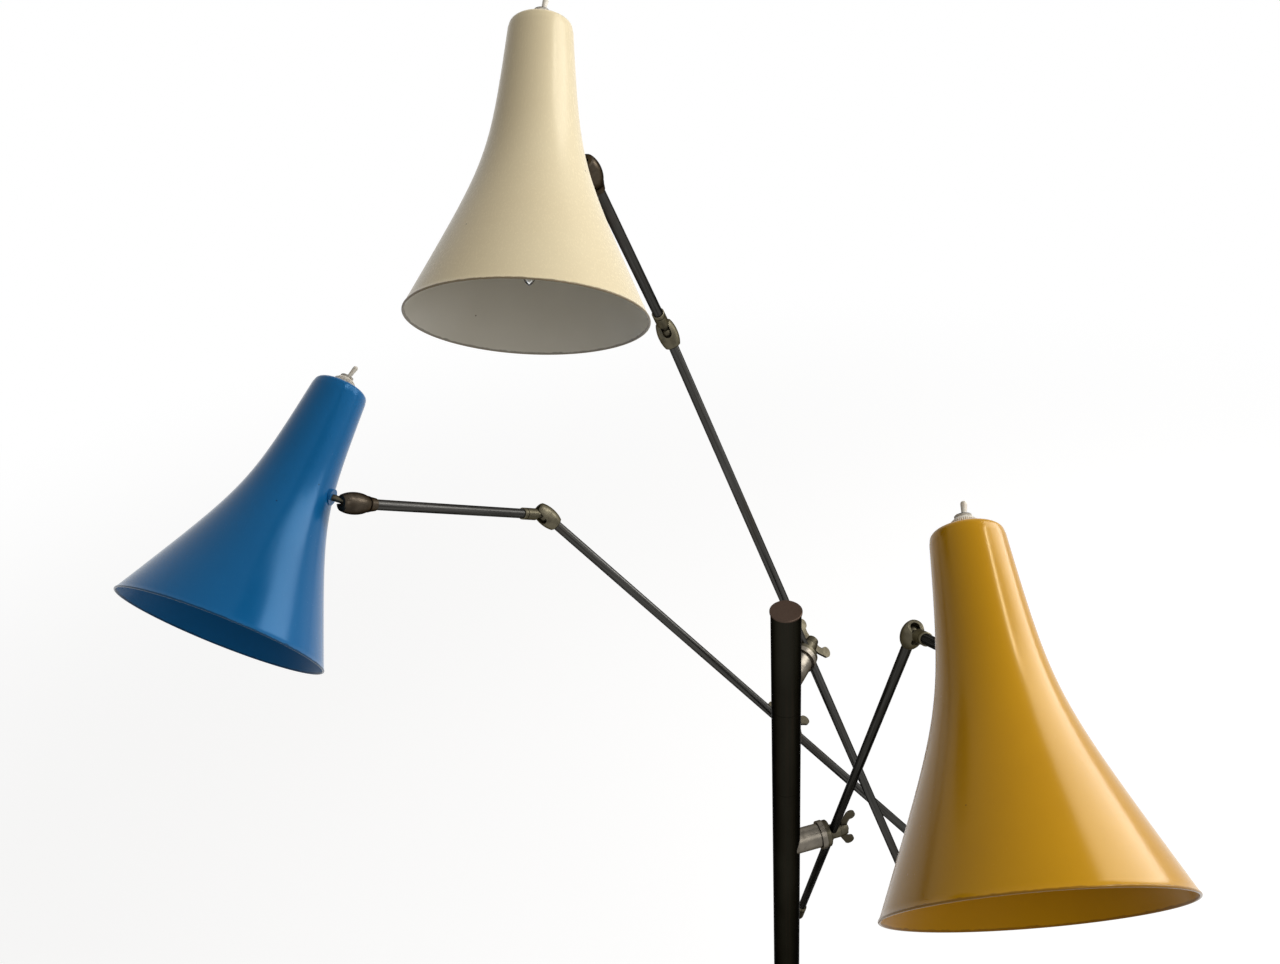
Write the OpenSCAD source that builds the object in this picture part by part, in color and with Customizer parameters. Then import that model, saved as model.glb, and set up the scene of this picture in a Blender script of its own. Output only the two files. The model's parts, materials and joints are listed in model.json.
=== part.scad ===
// Three-arm floor lamp: a round base, a tall pole whose three upper sleeves turn
// one above the other, and on each sleeve a clamped arm with two slotted ball
// joints and a spun trumpet shade. Units are millimetres, +Z is up, and the origin
// is the centre of the base's underside.

/* [Base] */
// Diameter of the cast base
base_d = 340; // [300:5:380]
// Height of the base at its outer edge
base_edge_h = 14; // [13:1:20]
// Height of the base where its dome meets the boss
base_dome_h = 30; // [26:1:36]
// Height of the boss that holds the column
boss_h = 48; // [44:1:60]
// Diameter of the boss
boss_d = 54; // [48:1:64]
// Thickness of the felt pad under the base
pad_t = 2; // [1:0.5:4]
// Diameter of the cable gland's bore
gland_bore = 7; // [5:0.5:7]

/* [Pole] */
// Height of the pole's top above the floor
pole_h = 1100; // [1000:10:1300]
// Outer diameter of the pole and its sleeves
pole_d = 32; // [30:1:36]
// Outer diameter of the inner tube that the sleeves turn on
core_d = 26; // [22:0.5:27]
// Wall of the inner tube
core_wall = 2; // [1.5:0.5:3]
// Diameter of the top cap
cap_d = 34; // [33:0.5:38]
// Thickness of the top cap's lip
cap_t = 2; // [1.5:0.5:5]
// Length of the top sleeve
top_sleeve_len = 132; // [125:1:150]
// Length of the middle sleeve
middle_sleeve_len = 122; // [115:1:140]
// Length of the bottom sleeve
bottom_sleeve_len = 310; // [290:1:330]
// Distance from the top sleeve's upper edge down to its stub
top_stub_drop = 99; // [85:1:105]
// Distance from the middle sleeve's upper edge down to its stub
middle_stub_drop = 88; // [75:1:95]
// Distance from the bottom sleeve's upper edge down to its stub
bottom_stub_drop = 98; // [80:1:110]

/* [Arm clamp] */
// Diameter of the stub on each sleeve
stub_d = 28; // [24:1:30]
// Distance from the pole's axis to the arm's axis
arm_offset = 58; // [54:1:64]
// Diameter of the stub's end flange
flange_d = 33; // [30:1:36]
// Thickness of the stub's end flange
flange_t = 6; // [4:0.5:8]
// Diameter of the turning disc that carries the eye
disc_d = 31; // [28:1:34]
// Thickness of the turning disc
disc_t = 6; // [4:0.5:7]
// Diameter of the eye that the arm slides through
eye_d = 17; // [16:0.5:20]
// Diameter of the eye's shank and threaded end
shank_d = 8; // [6:0.5:10]
// Length of the shank inside the stub
shank_len = 18; // [12:1:20]
// Span of the wing nut from tip to tip
wing_span = 54; // [44:1:60]
// Height of the wing nut's boss
wing_boss_h = 9; // [7:0.5:12]
// Thickness of each wing
wing_t = 3; // [2:0.5:4]

/* [Arms] */
// Diameter of the arm and forearm tubes
tube_d = 10; // [9:0.5:11]
// Wall of the arm and forearm tubes
tube_wall = 1; // [0.8:0.1:1.5]
// Length of each arm from the elbow ball's centre to its lower end
arm_len = 736; // [680:5:780]
// Length of the forearm from ball centre to ball centre
forearm_len = 248; // [232:0.5:264]
// Diameter of the turned piece on the arm's lower end
tail_d = 13; // [12:0.5:18]
// Length of the turned piece on the arm's lower end
tail_len = 42; // [30:1:60]

/* [Slotted ball joints] */
// Diameter of the ball
ball_d = 15; // [13:0.5:16]
// Largest diameter of the barrel-shaped socket
socket_d = 20.5; // [19.5:0.5:23]
// Length of the socket from the ball's centre to its mouth
mouth_len = 11; // [9:0.5:12]
// Length of the socket from the ball's centre to its tube end
socket_tail = 17; // [15:0.5:20]
// Diameter of the elbow ball's neck
elbow_neck_d = 8; // [6:0.5:9]
// Diameter of the shade ball's stem
stem_d = 6; // [5:0.5:7]
// Diameter of the ferrule that holds the forearm
ferrule_d = 12.5; // [12:0.5:15]
// Length of the ferrule
ferrule_len = 20; // [16:1:26]
// Depth of tube held in a socket or ferrule
tube_grip = 7.5; // [6:0.5:8]
// Length of the tapered collar behind the shade's socket
collar_len = 9; // [6:1:14]

/* [Shades] */
// Length of the shade along its axis
shade_len = 246; // [230:1:262]
// Outer diameter of the shade's top
shade_top_d = 51.2; // [48:0.2:56]
// Taper of the neck, radius per length
neck_slope = 0.08; // [0.04:0.005:0.1]
// Extra taper of the flared skirt, radius per length
flare_slope = 0.375; // [0.3:0.005:0.45]
// Distance from the top where the flare begins
flare_start = 119.5; // [105:0.5:130]
// Length over which the neck blends into the flare
flare_blend = 22.5; // [15:0.5:30]
// Thickness of the spun wall
shade_wall = 1.2; // [1:0.1:2]
// Radius of the rounded shoulder at the top
shoulder_r = 5; // [3:0.5:8]
// Radius of the rolled bead at the rim
bead_r = 1.5; // [1.2:0.1:2]
// Distance from the top down to the ball joint's stem
stem_drop = 104; // [95:1:112]
// Distance from the shade's wall to the ball's centre
ball_standoff = 20.5; // [17:0.5:25]

/* [Lamp fittings] */
// Diameter of the lampholder
holder_d = 28; // [26:1:32]
// Length of the lampholder
holder_len = 54; // [45:1:58]
// Distance from the shade's top to the lampholder
holder_drop = 58; // [50:1:64]
// Diameter of the bulb's cap
bulb_cap_d = 14; // [13:0.5:15]
// Largest diameter of the candle bulb
bulb_d = 35; // [30:1:38]
// Length of the bulb's glass
bulb_len = 108; // [95:1:112]
// Thickness of the bulb's glass
glass_wall = 1; // [0.6:0.1:1.4]
// Diameter of the toggle switch's threaded bush
bush_d = 12; // [11:0.5:13]
// Height of the bush above the shade
bush_h = 12; // [10.5:0.5:15]
// Diameter of the knurled nut
nut_d = 20; // [18:0.5:22]
// Height of the knurled nut
nut_h = 7; // [5:0.5:8]
// Number of ridges on the knurled nut
nut_ridges = 44; // [36:1:48]
// Length of the toggle lever from its pivot
lever_len = 19; // [15:1:24]
// Lean of the toggle lever at rest
lever_lean = 13; // [8:1:14]

/* [Cream arm pose] */
// Turn of the top sleeve about the pole
cream_swivel = 61; // [59.5:0.5:62.5]
// Tilt of the cream arm above the horizontal
cream_tilt = 67.5; // [66.5:0.5:68.5]
// Distance from the clamp up to the cream elbow
cream_reach = 394; // [384:1:404]
// Turn of the cream elbow about the arm
cream_elbow_turn = -146; // [-148:1:-144]
// Bend of the cream elbow
cream_elbow_bend = 39.5; // [38:0.5:41]
// Turn of the cream forearm about itself
cream_forearm_turn = -85.5; // [-87:0.5:-84]
// Bend of the cream shade's joint
cream_shade_bend = 30; // [28:0.5:32]
// Turn of the cream shade about its stem
cream_shade_turn = -121.5; // [-123.5:0.5:-119.5]

/* [Blue arm pose] */
// Turn of the middle sleeve about the pole
blue_swivel = 81.5; // [80:0.5:83]
// Tilt of the blue arm above the horizontal
blue_tilt = 49; // [48:0.5:50]
// Distance from the clamp up to the blue elbow
blue_reach = 389; // [379:1:399]
// Turn of the blue elbow about the arm
blue_elbow_turn = 176; // [174:1:178]
// Bend of the blue elbow
blue_elbow_bend = 43; // [41.5:0.5:44.5]
// Turn of the blue forearm about itself
blue_forearm_turn = -135.5; // [-137:0.5:-134]
// Bend of the blue shade's joint
blue_shade_bend = 61.5; // [59.5:0.5:63.5]
// Turn of the blue shade about its stem
blue_shade_turn = -61.5; // [-63.5:0.5:-59.5]

/* [Yellow arm pose] */
// Turn of the bottom sleeve about the pole
yellow_swivel = 14.5; // [13:0.5:16]
// Tilt of the yellow arm above the horizontal
yellow_tilt = 110; // [109.5:0.5:110.5]
// Distance from the clamp up to the yellow elbow
yellow_reach = 467; // [457:1:477]
// Turn of the yellow elbow about the arm
yellow_elbow_turn = -96; // [-98:1:-94]
// Bend of the yellow elbow
yellow_elbow_bend = 39.5; // [38:0.5:41]
// Turn of the yellow forearm about itself
yellow_forearm_turn = -116.5; // [-118:0.5:-115]
// Bend of the yellow shade's joint
yellow_shade_bend = 60; // [58:0.5:62]
// Turn of the yellow shade about its stem
yellow_shade_turn = -56; // [-58:0.5:-54]

/* [Clearances] */
// Gap between sleeves that turn on each other
swivel_gap = 0.4; // [0.3:0.1:0.8]
// Radial clearance of a running fit
run_fit = 0.05; // [0.02:0.01:0.1]
// Radial clearance round the balls
ball_fit = 0.1; // [0.05:0.01:0.1]
// Clearance of the neck in its slot, each side
slot_fit = 0.25; // [0.2:0.05:0.5]
// Gap between a washer and the shade's wall
seat_gap = 0.2; // [0.15:0.05:0.3]

/* [Hidden] */
$fn = 64;
ARMS = ["cream", "blue", "yellow"];

// Finishes
bronze = [0.24, 0.22, 0.19];
brass = [0.45, 0.43, 0.33];
gunmetal = [0.26, 0.27, 0.26];
shade_paint = [[0.88, 0.82, 0.66], [0.12, 0.37, 0.6], [0.74, 0.54, 0.02]];

// The three arms' poses, in the order of ARMS
sleeve_len = [top_sleeve_len, middle_sleeve_len, bottom_sleeve_len];
stub_drop = [top_stub_drop, middle_stub_drop, bottom_stub_drop];
swivel = [cream_swivel, blue_swivel, yellow_swivel];
tilt = [cream_tilt, blue_tilt, yellow_tilt];
reach = [cream_reach, blue_reach, yellow_reach];
elbow_turn = [cream_elbow_turn, blue_elbow_turn, yellow_elbow_turn];
elbow_bend = [cream_elbow_bend, blue_elbow_bend, yellow_elbow_bend];
forearm_turn = [cream_forearm_turn, blue_forearm_turn, yellow_forearm_turn];
shade_bend = [cream_shade_bend, blue_shade_bend, yellow_shade_bend];
shade_turn = [cream_shade_turn, blue_shade_turn, yellow_shade_turn];

// Heights on the pole: each sleeve starts one gap below the piece above it
function sleeve_top(i) = i == 0 ? pole_h - cap_t - swivel_gap
    : sleeve_top(i - 1) - sleeve_len[i - 1] - swivel_gap;
function stub_z(i) = sleeve_top(i) - stub_drop[i];
column_top = sleeve_top(2) - sleeve_len[2] - swivel_gap;
column_seat = pad_t + 18;
core_grip = 160;
core_bottom = column_top - core_grip;
cap_plug = 12;
cap_chamfer = 0.6;
core_bore = core_d - 2 * core_wall;

// Places along a stub, from the pole's axis outwards
flange_x = arm_offset - tube_d / 2 - disc_t - swivel_gap;
stub_end_x = flange_x - flange_t;
disc_x = flange_x + swivel_gap;
shank_x = flange_x - shank_len;
eye_end_x = arm_offset + eye_d / 2;
nut_x = eye_end_x + swivel_gap;
thread_end_x = nut_x + wing_boss_h + 2;
wing_hub_r = shank_d / 2 + 3;

// Slotted ball joint
ball_r = ball_d / 2;
socket_r = socket_d / 2;
socket_mid = -3;
neck_len = mouth_len + 3;
function barrel_r(z) = socket_r * sqrt(1 - pow((z - socket_mid) / 20, 2));
collar_r = tube_d / 2 + 2;

// Shade: radius at a distance u below the top, a tapered neck that runs into a flare
shade_top_r = shade_top_d / 2;
function flare(u) = flare_slope * flare_blend
    * ln((1 + exp((u - flare_start) / flare_blend)) / (1 + exp(-flare_start / flare_blend)));
function shade_r(u) = shade_top_r + neck_slope * u + flare(u);
axis_off = shade_r(stem_drop) + ball_standoff;
profile_steps = 30;
shoulder_steps = 5;
bead_steps = 10;
washer_t = 2.2;
washer_r = stem_d / 2 + 4.5;
inner_nut_t = 5;
bracket_t = 1.5;
bracket_leg_x = 9.5;
switch_r = 7.5;
switch_len = 20;
pivot_z = bush_h - 6;
lever_ball_r = bush_d / 2 - 2.6;
lever_bore_r = lever_ball_r + run_fit;
bulb_cap_len = 22;
bulb_steps = 20;
exhaust_d = 4;
gland_z = pad_t + 7.5;
gland_hold = 14;
gland_collar_h = 3;
gland_gap = 0.2;
gland_end = base_d / 2 + gland_gap + 2 * gland_collar_h;
edge_r = 4;
foot_chamfer = 3;
cove_r = [14, 10];
boss_chamfer = 3;

// Frames along an arm: each child sits in the frame of the part before it
module at_sleeve(i) { rotate([0, 0, swivel[i]]) children(); }
module at_stub(i) { at_sleeve(i) translate([0, 0, stub_z(i)]) children(); }
module at_clamp(i) { at_stub(i) rotate([tilt[i] - 90, 0, 0]) children(); }
module at_arm(i) { at_clamp(i) translate([arm_offset, 0, 0]) children(); }
module at_elbow(i) {
    at_arm(i) translate([0, 0, reach[i]]) rotate([0, 0, elbow_turn[i]]) children();
}
module at_elbow_ball(i) { at_elbow(i) rotate([0, elbow_bend[i], 0]) children(); }
module at_forearm(i) { at_elbow_ball(i) rotate([0, 0, forearm_turn[i]]) children(); }
module at_shade_ball(i) {
    at_forearm(i) translate([0, 0, forearm_len]) rotate([0, shade_bend[i], 0]) children();
}
// Origin at the centre of the shade's top, +Z up out of the shade, +X to the ball joint
module at_shade(i) {
    at_shade_ball(i) rotate([0, 0, shade_turn[i]]) translate([0, 0, axis_off])
        rotate([0, 90, 0]) translate([0, 0, stem_drop]) children();
}

// A cylinder that lies along +X
module rod_x(x0, x1, d) { translate([x0, 0, 0]) rotate([0, 90, 0]) cylinder(h = x1 - x0, d = d); }

// ---- base and pole ----
module base_casting() {
    color(bronze) difference() {
        rotate_extrude() polygon(concat(
            [[0, pad_t], [base_d / 2 - foot_chamfer, pad_t], [base_d / 2, pad_t + foot_chamfer]],
            [for (a = [0:15:90]) [base_d / 2 - edge_r + edge_r * cos(a),
                base_edge_h + pad_t - edge_r + edge_r * sin(a)]],
            [for (k = [1:10]) let (t = k / 10)
                [base_d / 2 - edge_r + (boss_d / 2 + cove_r[0] - base_d / 2 + edge_r) * t,
                 pad_t + base_edge_h + (base_dome_h - base_edge_h) * sin(90 * t)]],
            [for (a = [0:15:75]) [boss_d / 2 + cove_r[0] * (1 - sin(a)),
                base_dome_h + pad_t + cove_r[1] * (1 - cos(a))]],
            [[boss_d / 2, boss_h - boss_chamfer], [boss_d / 2 - boss_chamfer, boss_h],
             [0, boss_h]]));
        translate([0, 0, column_seat]) cylinder(h = boss_h, d = pole_d);
        translate([0, 0, gland_z]) rotate([-90, 0, 0]) cylinder(h = base_d, d = gland_bore - 1);
        translate([0, base_d / 2 - gland_hold, gland_z]) rotate([-90, 0, 0])
            cylinder(h = gland_hold + 1, d = gland_bore + 2);
        translate([0, 0, gland_z - gland_bore / 2]) cylinder(h = boss_h, d = core_bore);
    }
}

module base_pad() {
    color([0.1, 0.1, 0.1]) cylinder(h = pad_t, d = base_d - 12);
}

module column() {
    color(bronze) translate([0, 0, column_seat]) difference() {
        cylinder(h = column_top - column_seat, d = pole_d);
        translate([0, 0, -1]) cylinder(h = column_top, d = core_d);
    }
}

module core_tube() {
    color(gunmetal) translate([0, 0, core_bottom]) difference() {
        cylinder(h = pole_h - cap_t - core_bottom, d = core_d);
        translate([0, 0, -1]) cylinder(h = pole_h, d = core_bore);
    }
}

module pole_cap() {
    color([0.3, 0.24, 0.2]) translate([0, 0, pole_h - cap_t]) {
        cylinder(h = cap_t - cap_chamfer, d = cap_d);
        translate([0, 0, cap_t - cap_chamfer])
            cylinder(h = cap_chamfer, d1 = cap_d, d2 = cap_d - 2 * cap_chamfer);
        translate([0, 0, -cap_plug]) cylinder(h = cap_plug, d = core_bore);
    }
}

module cable_gland() {
    color(brass) translate([0, 0, gland_z]) rotate([-90, 0, 0]) difference() {
        union() {
            translate([0, 0, base_d / 2 - gland_hold])
                cylinder(h = gland_hold + gland_gap, d = gland_bore + 2);
            translate([0, 0, base_d / 2 + gland_gap])
                cylinder(h = gland_collar_h, d = gland_bore + 6);
            translate([0, 0, gland_end - gland_collar_h])
                cylinder(h = gland_collar_h, d1 = gland_bore + 6, d2 = gland_bore + 3);
        }
        translate([0, 0, base_d / 2 - gland_hold - 1])
            cylinder(h = gland_end - base_d / 2 + gland_hold + 2, d = gland_bore);
    }
}

// ---- sleeve and clamp ----
module sleeve(i) {
    color(bronze) at_sleeve(i) translate([0, 0, sleeve_top(i) - sleeve_len[i]]) difference() {
        cylinder(h = sleeve_len[i], d = pole_d);
        translate([0, 0, -1]) cylinder(h = sleeve_len[i] + 2, d = core_d + 2 * run_fit);
    }
}

module stub(i) {
    color(bronze) at_stub(i) difference() {
        union() {
            rod_x(0, stub_end_x, stub_d);
            rod_x(stub_end_x, flange_x, flange_d);
        }
        translate([0, 0, -stub_d]) cylinder(h = 2 * stub_d, d = pole_d);
        rod_x(shank_x - 1, flange_x + 1, shank_d + 2 * run_fit);
        translate([-2 * pole_d, -stub_d, -stub_d]) cube([2 * pole_d, 2 * stub_d, 2 * stub_d]);
    }
}

// Turning disc, shank and eye in one forging; the arm slides through the eye
module clamp_eye(i) {
    color(brass) at_clamp(i) difference() {
        union() {
            rod_x(shank_x, disc_x, shank_d);
            rod_x(disc_x, disc_x + disc_t - 1, disc_d);
            translate([disc_x + disc_t - 1, 0, 0]) rotate([0, 90, 0])
                cylinder(h = 1, d1 = disc_d, d2 = disc_d - 2);
            rod_x(disc_x + disc_t - 1, eye_end_x, eye_d);
            rod_x(eye_end_x, thread_end_x - 1, shank_d);
            translate([thread_end_x - 1, 0, 0]) rotate([0, 90, 0])
                cylinder(h = 1, d1 = shank_d, d2 = shank_d - 2);
        }
        translate([arm_offset, 0, -disc_d]) cylinder(h = 2 * disc_d, d = tube_d + 2 * run_fit);
    }
}

// One wing, drawn in the plane of the stub's axis: x outwards, y away from the axis
module wing_outline() {
    tip_r = 6;
    polygon([[1, 0], [wing_boss_h - 1, 0], [wing_boss_h + 1, wing_hub_r + 4],
        [wing_boss_h + 5, wing_span / 2 - tip_r - 3], [wing_boss_h + 10, wing_span / 2 - tip_r],
        [wing_boss_h - 1, wing_span / 2 - 3], [2, wing_hub_r + 6]]);
    translate([wing_boss_h + 4, wing_span / 2 - tip_r]) circle(r = tip_r);
}

module wing_nut(i) {
    color(brass) at_clamp(i) translate([nut_x, 0, 0]) difference() {
        union() {
            rotate([0, 90, 0]) cylinder(h = wing_boss_h, r1 = wing_hub_r + 1.5, r2 = wing_hub_r);
            for (s = [-1, 1]) rotate([s * 90 - 20, 0, 0]) translate([0, 0, -wing_t / 2])
                linear_extrude(height = wing_t) wing_outline();
        }
        rod_x(-1, wing_boss_h + 12, shank_d + 2 * run_fit);
    }
}

// ---- arm ----
module tube(z0, z1) {
    translate([0, 0, z0]) difference() {
        cylinder(h = z1 - z0, d = tube_d);
        translate([0, 0, -1]) cylinder(h = z1 - z0 + 2, d = tube_d - 2 * tube_wall);
    }
}

module arm(i) {
    color(gunmetal) at_arm(i) translate([0, 0, reach[i]]) tube(-arm_len, tube_grip - socket_tail);
}

// Turned end piece: a plug in the tube and a slim grip with a domed foot
module arm_tail(i) {
    r = tail_d / 2;
    color(brass) at_arm(i) translate([0, 0, reach[i] - arm_len]) {
        cylinder(h = 12, d = tube_d - 2 * tube_wall);
        rotate_extrude() polygon(concat([[0, 0], [tube_d / 2, 0], [r, -4], [r, r - tail_len]],
            [for (a = [15:15:75]) [r * cos(a), r - tail_len - r * sin(a)]], [[0, -tail_len]]));
    }
}

// Barrel with a ball seat, a mouth along +Z and a slot from the mouth round to +X
module barrel(neck_d, tube_hole_d) {
    slot_d = neck_d + 2 * slot_fit;
    difference() {
        rotate_extrude() polygon(concat(
            [[0, -socket_tail], [barrel_r(-socket_tail) - 1, -socket_tail]],
            [for (k = [0:12]) let (z = 1 - socket_tail + (mouth_len + socket_tail - 2) * k / 12)
                [barrel_r(z), z]],
            [[barrel_r(mouth_len) - 1, mouth_len], [0, mouth_len]]));
        sphere(r = ball_r + ball_fit);
        cylinder(h = 2 * socket_d, d = slot_d);
        rod_x(0, 2 * socket_d, slot_d);
        translate([0, -slot_d / 2, 0]) cube([2 * socket_d, slot_d, 2 * socket_d]);
        translate([0, 0, -socket_tail - 1]) cylinder(h = tube_grip + 1, d = tube_hole_d);
    }
}

module elbow_socket(i) {
    color(brass) at_elbow(i) barrel(elbow_neck_d, tube_d + 2 * run_fit);
}

// Ball, neck and ferrule turned in one piece; the forearm turns in the ferrule
module elbow_ball(i) {
    r = ferrule_d / 2;
    end = neck_len + ferrule_len;
    color(brass) at_elbow_ball(i) difference() {
        union() {
            sphere(r = ball_r);
            cylinder(h = neck_len + 1, d = elbow_neck_d);
            rotate_extrude() polygon([[0, neck_len], [r - 1.5, neck_len], [r, neck_len + 1.5],
                [r, end - 5], [r - 0.6, end - 5], [r - 0.6, end - 4], [r, end - 4],
                [r, end - 0.5], [r - 0.5, end], [0, end]]);
        }
        translate([0, 0, end - tube_grip]) cylinder(h = tube_grip + 1, d = tube_d + 2 * run_fit);
    }
}

module forearm(i) {
    color(gunmetal) at_forearm(i)
        tube(neck_len + ferrule_len - tube_grip + swivel_gap, forearm_len - socket_tail + tube_grip);
}

// Socket at the shade's end, with a grooved, tapered collar over the tube
module shade_socket(i) {
    tail = -socket_tail;
    color(brass) at_forearm(i) translate([0, 0, forearm_len]) {
        barrel(stem_d, tube_d);
        difference() {
            rotate_extrude() polygon([[0, tail], [collar_r - 0.6, tail], [collar_r - 0.6, tail - 1],
                [collar_r + 0.6, tail - 1], [collar_r, tail - 3], [tube_d / 2 + 1, tail - collar_len],
                [0, tail - collar_len]]);
            translate([0, 0, tail - collar_len - 1]) cylinder(h = collar_len + 2, d = tube_d);
        }
    }
}

// ---- shade ----
// Ball and stem; the shade turns on the stem
module shade_ball(i) {
    color(brass) at_shade_ball(i) {
        sphere(r = ball_r);
        cylinder(h = ball_standoff + shade_wall + inner_nut_t + 2, d = stem_d);
        translate([0, 0, ball_standoff + shade_wall + inner_nut_t + 2])
            cylinder(h = 1, d1 = stem_d, d2 = stem_d - 2);
    }
}

// Shade wall between two offsets of its profile, from the top (u = 0) to the rim
function profile(inset, u0) = [for (k = [0:profile_steps]) let (
    u = u0 + (shade_len - u0) * k / profile_steps) [shade_r(u) - inset, -u]];

module shade_body(inset) {
    rotate_extrude() polygon(concat([[0, 0]], profile(inset, 0), [[0, -shade_len]]));
}

module shade_washers(i) {
    color([0.08, 0.08, 0.08]) at_shade(i) {
        difference() {
            translate([0, 0, -stem_drop])
                rod_x(shade_r(stem_drop) - 4, shade_r(stem_drop) + washer_t, 2 * washer_r);
            shade_body(-seat_gap);
            translate([0, 0, -stem_drop]) rod_x(0, 2 * axis_off, stem_d + 2 * run_fit);
        }
        difference() {
            intersection() {
                translate([0, 0, -stem_drop]) rod_x(shade_r(stem_drop) - shade_wall - inner_nut_t,
                    shade_r(stem_drop), 2 * washer_r - 4);
                shade_body(shade_wall + seat_gap);
            }
            translate([0, 0, -stem_drop]) rod_x(0, 2 * axis_off, stem_d + 2 * run_fit);
        }
    }
}

module shade(i) {
    rim_r = shade_r(shade_len);
    color(shade_paint[i]) at_shade(i) difference() {
        rotate_extrude() polygon(concat(
            [[bush_d / 2, 0]],
            [for (k = [0:shoulder_steps]) let (a = 90 - 90 * k / shoulder_steps)
                [shade_top_r - shoulder_r + shoulder_r * cos(a), shoulder_r * sin(a) - shoulder_r]],
            profile(0, shoulder_r + 2),
            [for (k = [1:bead_steps]) let (a = 60 - 240 * k / bead_steps)
                [rim_r - bead_r + 0.6 + bead_r * cos(a), -shade_len - 0.4 + bead_r * sin(a)]],
            [for (k = [profile_steps:-1:0]) let (
                u = shoulder_r + 2 + (shade_len - 3 - shoulder_r) * k / profile_steps)
                [shade_r(u) - shade_wall, -u]],
            [for (k = [shoulder_steps:-1:0]) let (a = 90 - 90 * k / shoulder_steps,
                q = shoulder_r - shade_wall)
                [shade_top_r - shoulder_r + q * cos(a), q * sin(a) - shoulder_r]],
            [[bush_d / 2, -shade_wall]]));
        translate([0, 0, -stem_drop]) rod_x(0, 2 * axis_off, stem_d + 2 * run_fit);
    }
}

// ---- lampholder, bulb and switch ----
module lampholder(i) {
    r = holder_d / 2;
    color([0.12, 0.12, 0.12]) at_shade(i) {
        translate([0, 0, -shade_wall - bracket_t]) difference() {
            cylinder(h = bracket_t, r = bracket_leg_x + 3);
            translate([0, 0, -1]) cylinder(h = bracket_t + 2, d = bush_d);
        }
        for (s = [-1, 1]) translate([s * (bracket_leg_x + 1) - 1, -3, -holder_drop])
            cube([2, 6, holder_drop - shade_wall - bracket_t]);
        translate([0, 0, -holder_drop - holder_len]) difference() {
            union() {
                cylinder(h = holder_len, r = r);
                translate([0, 0, 6]) cylinder(h = 10, r = r + 1.5);
            }
            translate([0, 0, -1]) cylinder(h = bulb_cap_len + 1, d = bulb_cap_d);
        }
    }
}

// Candle bulb: radius of the glass at a share t of its length from cap to tip
function candle_r(t) = bulb_d / 2 * (0.42 + 0.58 * sin(180 * pow(t, 0.72)))
    * sqrt(max(0, 1 - pow(t, 6)));

// Inner surface of the glass, open at the cap
function glass_bore(t) = max(0, candle_r(t) - glass_wall);

// Cap in the lampholder, bored for the exhaust tube, and a blown glass shell below it
module bulb(i) {
    top = -holder_drop - holder_len;
    inner_len = bulb_len - 2 * glass_wall;
    color([0.9, 0.92, 0.95, 0.4]) at_shade(i) translate([0, 0, top]) {
        difference() {
            cylinder(h = bulb_cap_len, d = bulb_cap_d);
            translate([0, 0, -1]) cylinder(h = bulb_cap_len + 2, d = exhaust_d);
        }
        rotate_extrude() polygon(concat(
            [for (k = [0:bulb_steps]) [candle_r(k / bulb_steps), -bulb_len * k / bulb_steps]],
            [for (k = [bulb_steps:-1:0])
                [glass_bore(k / bulb_steps), -inner_len * k / bulb_steps]]));
    }
}

module switch(i) {
    top = -shade_wall - bracket_t;
    color([0.12, 0.12, 0.12]) at_shade(i) difference() {
        union() {
            translate([0, 0, top - switch_len]) cylinder(h = switch_len, r = switch_r);
            translate([0, 0, top]) cylinder(h = bush_h - top, d = bush_d);
        }
        translate([0, 0, pivot_z - 8]) cylinder(h = 30, r = lever_bore_r);
    }
}

module switch_nut(i) {
    color([0.85, 0.83, 0.76]) at_shade(i) difference() {
        union() {
            linear_extrude(height = nut_h) polygon([for (k = [0:2 * nut_ridges - 1])
                (nut_d / 2 - 0.6 * (k % 2)) * [cos(180 * k / nut_ridges), sin(180 * k / nut_ridges)]]);
            translate([0, 0, nut_h]) cylinder(h = 1, d = nut_d - 3);
            translate([0, 0, nut_h + 1]) cylinder(h = 1.5, d1 = nut_d - 3, d2 = bush_d + 2);
        }
        translate([0, 0, -1]) cylinder(h = nut_h + 5, d = bush_d);
    }
}

module toggle(i) {
    color([0.92, 0.9, 0.84]) at_shade(i) translate([0, 0, pivot_z]) rotate([0, lever_lean, 0]) {
        sphere(r = lever_ball_r);
        cylinder(h = lever_len - 2.4, r1 = 1.4, r2 = 2.4);
        translate([0, 0, lever_len - 2.4]) sphere(r = 2.4);
    }
}

base_casting();
base_pad();
column();
core_tube();
pole_cap();
cable_gland();
sleeve(0);  // cream_sleeve
stub(0);  // cream_stub
clamp_eye(0);  // cream_clamp_eye
wing_nut(0);  // cream_wing_nut
arm(0);  // cream_arm
arm_tail(0);  // cream_arm_tail
elbow_socket(0);  // cream_elbow_socket
elbow_ball(0);  // cream_elbow_ball
forearm(0);  // cream_forearm
shade_socket(0);  // cream_shade_socket
shade_ball(0);  // cream_shade_ball
shade_washers(0);  // cream_shade_washers
shade(0);  // cream_shade
lampholder(0);  // cream_lampholder
bulb(0);  // cream_bulb
switch(0);  // cream_switch
switch_nut(0);  // cream_switch_nut
toggle(0);  // cream_toggle
sleeve(1);  // blue_sleeve
stub(1);  // blue_stub
clamp_eye(1);  // blue_clamp_eye
wing_nut(1);  // blue_wing_nut
arm(1);  // blue_arm
arm_tail(1);  // blue_arm_tail
elbow_socket(1);  // blue_elbow_socket
elbow_ball(1);  // blue_elbow_ball
forearm(1);  // blue_forearm
shade_socket(1);  // blue_shade_socket
shade_ball(1);  // blue_shade_ball
shade_washers(1);  // blue_shade_washers
shade(1);  // blue_shade
lampholder(1);  // blue_lampholder
bulb(1);  // blue_bulb
switch(1);  // blue_switch
switch_nut(1);  // blue_switch_nut
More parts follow.
